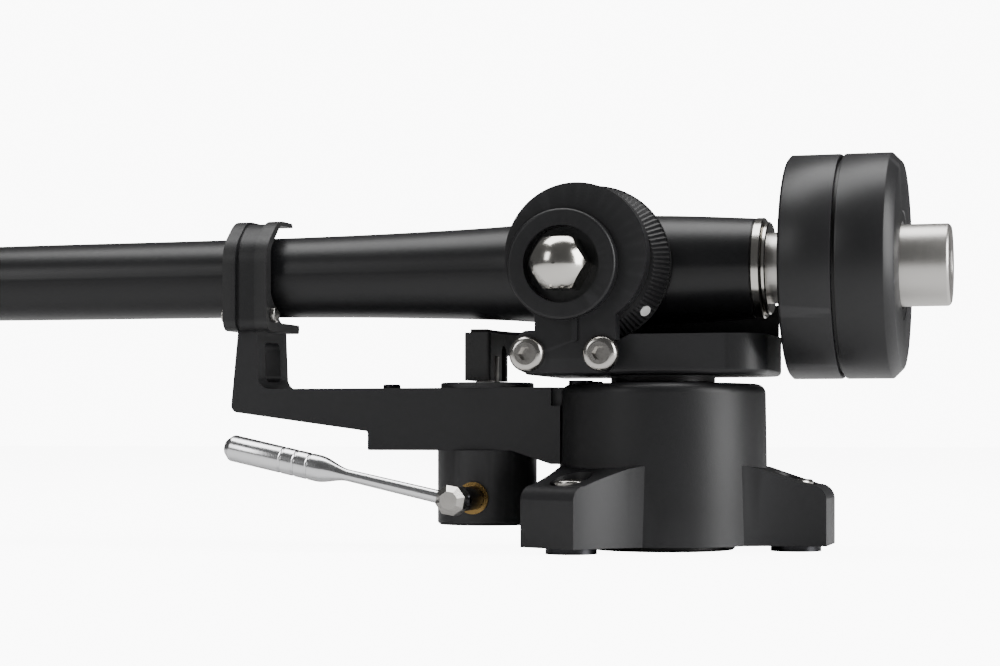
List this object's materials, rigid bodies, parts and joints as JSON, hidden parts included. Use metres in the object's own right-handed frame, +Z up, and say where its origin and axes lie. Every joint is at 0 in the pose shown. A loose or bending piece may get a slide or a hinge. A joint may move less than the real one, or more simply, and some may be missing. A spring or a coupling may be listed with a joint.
{
  "type": "tonearm for a turntable record player",
  "caption": "Tapered one-piece tonearm in a bearing yoke on a legged base, with rest clip, cueing lift and lever, force dial and sliding counterweight.",
  "frame": {"origin": "on the vertical pivot axis, in the mounting plane under the base", "axes": "+X along the arm to the counterweight, -Y to the outer side with the dial, +Y to the platter, +Z up"},
  "size_m": [0.2781, 0.0524, 0.0627],
  "materials": {
    "satin_black_casting": "cast aluminium with a fine satin black coat",
    "satin_black_arm": "cast aluminium, smooth satin black coat with a faint parting line",
    "black_anodised": "black anodised, turned",
    "black_steel": "turned steel, blackened",
    "black_plastic": "moulded black plastic",
    "stainless": "turned stainless steel",
    "polished_steel": "polished steel",
    "polished_aluminium": "polished and lightly brushed",
    "dark_steel": "blackened steel",
    "brass": "turned brass",
    "spring_steel": "drawn wire",
    "rubber": "matt black rubber",
    "white_mark": "white paint mark"
  },
  "bodies": {
    "base": {"base_casting": "satin_black_casting", "base_collar": "black_anodised", "cable_gland": "rubber", "leg_inserts": "dark_steel", "leg_screws": "stainless", "pan_bearing_outer_races": "polished_steel", "pan_bearing_balls": "polished_steel", "rest_bracket": "satin_black_casting", "bracket_screws": "dark_steel", "platform_screw": "dark_steel", "arm_clip": "black_plastic", "clip_screw": "stainless", "lift_cylinder": "black_anodised", "lift_flange": "black_anodised", "lever_bush": "brass", "lift_spring": "spring_steel"},
    "carriage": {"yoke": "satin_black_casting", "near_ear": "satin_black_casting", "ear_screws": "stainless", "cross_axle": "stainless", "pivot_nut": "polished_steel", "far_nut": "polished_steel", "pivot_spindle": "stainless", "pan_bearing_inner_races": "polished_steel", "bearing_spacer": "stainless", "spindle_circlip": "dark_steel", "tracking_spring": "spring_steel", "tilt_bearing_inner_races": "polished_steel"},
    "dial": {"force_dial": "black_plastic", "dial_dot": "white_mark"},
    "arm": {"arm_tube": "satin_black_arm", "finger_lift": "polished_aluminium", "tilt_bearing_outer_races": "polished_steel", "tilt_bearing_balls": "polished_steel", "rear_collar": "polished_steel", "stub_shaft": "stainless"},
    "counterweight": {"counterweight_front": "black_steel", "counterweight_rear": "black_steel", "friction_ring": "rubber"},
    "lever": {"cue_lever": "polished_aluminium", "lever_boss": "stainless", "lever_shaft": "dark_steel", "lever_grub_screw": "dark_steel", "lift_cam": "dark_steel"},
    "lift": {"lift_plunger": "stainless", "lift_bridge": "black_plastic", "bridge_pad": "rubber"}
  },
  "joints": [
    {"name": "arm_pan", "type": "hinge", "parent": "base", "child": "carriage", "pos_m": [0, 0, 0.03], "axis": [0, 0, -1], "range_deg": [0, 42]},
    {"name": "arm_tilt", "type": "hinge", "parent": "carriage", "child": "arm", "pos_m": [-0.0126, 0, 0.045], "axis": [0, 1, 0], "range_deg": [0, 1.2]},
    {"name": "counterweight_slide", "type": "slide", "parent": "arm", "child": "counterweight", "axis": [1, 0, 0], "range_m": [-0.0005, 0.005]},
    {"name": "dial_turn", "type": "hinge", "parent": "carriage", "child": "dial", "pos_m": [-0.0093, 0, 0.0454], "axis": [0, -1, 0], "range_deg": [0, 270]},
    {"name": "lever_turn", "type": "hinge", "parent": "base", "child": "lever", "pos_m": [-0.0295, 0, 0.0082], "axis": [0, 1, 0], "range_deg": [0, 60]},
    {"name": "lift_slide", "type": "slide", "parent": "base", "child": "lift", "axis": [0, 0, 1], "range_m": [0, 0.00169], "deforming": ["lift_spring"]}
  ],
  "couplings": [
    {"joint": "lift_slide", "follows": "lever_turn", "m_per_rad": 0.0016137},
    {"joint": "arm_tilt", "follows": "lever_turn", "ratio": 0.02}
  ]
}
